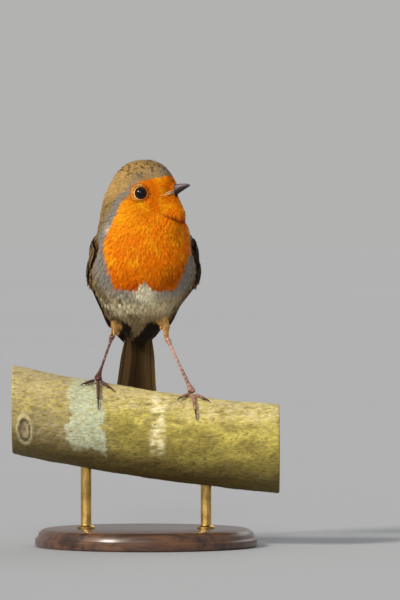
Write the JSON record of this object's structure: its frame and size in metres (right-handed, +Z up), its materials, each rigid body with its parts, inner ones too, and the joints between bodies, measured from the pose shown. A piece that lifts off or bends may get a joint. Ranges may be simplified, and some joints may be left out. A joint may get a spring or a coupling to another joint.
{
  "type": "european robin",
  "caption": "Life-size still model of a European robin gripping a short cut branch with its head turned, on a round display stand with rods.",
  "frame": {"origin": "centre of the stand's underside, on the floor", "axes": "+Z up; the bird's body faces -Y and its left is +X; the branch runs along X"},
  "size_m": [0.12, 0.1, 0.1739],
  "materials": {
    "breast_plumage": "soft feathers, orange on face and breast, grey beside it, white on the belly",
    "wing_plumage": "close brown feathers with olive edges",
    "tail_plumage": "long brown feathers with paler edges",
    "thigh_plumage": "short buff feathers",
    "leg_skin": "pinkish brown scaled skin",
    "claw_horn": "dark horn",
    "bill_horn": "dark smooth horn",
    "eye_surface": "wet black-brown",
    "bark": "olive green bark with pale lichen",
    "stand_wood": "dark satin wood",
    "stand_brass": "brushed brass"
  },
  "bodies": {
    "root": {"trunk": "breast_plumage", "neck": "breast_plumage", "head": "breast_plumage", "wing_left_coverts": "wing_plumage", "wing_left_secondaries": "wing_plumage", "wing_left_primaries": "wing_plumage", "wing_right_coverts": "wing_plumage", "wing_right_secondaries": "wing_plumage", "wing_right_primaries": "wing_plumage", "tail": "tail_plumage", "thigh_left": "thigh_plumage", "thigh_right": "thigh_plumage", "tarsus_left": "leg_skin", "tarsus_right": "leg_skin", "toe_hallux_left": "leg_skin", "toe_inner_left": "leg_skin", "toe_middle_left": "leg_skin", "toe_outer_left": "leg_skin", "toe_hallux_right": "leg_skin", "toe_inner_right": "leg_skin", "toe_middle_right": "leg_skin", "toe_outer_right": "leg_skin", "claw_hallux_left": "claw_horn", "claw_inner_left": "claw_horn", "claw_middle_left": "claw_horn", "claw_outer_left": "claw_horn", "claw_hallux_right": "claw_horn", "claw_inner_right": "claw_horn", "claw_middle_right": "claw_horn", "claw_outer_right": "claw_horn", "bill_upper": "bill_horn", "bill_lower": "bill_horn", "eye_left": "eye_surface", "eye_right": "eye_surface", "perch": "bark", "stand_base": "stand_wood", "stand_rod_left": "stand_brass", "stand_rod_right": "stand_brass"}
  },
  "joints": []
}
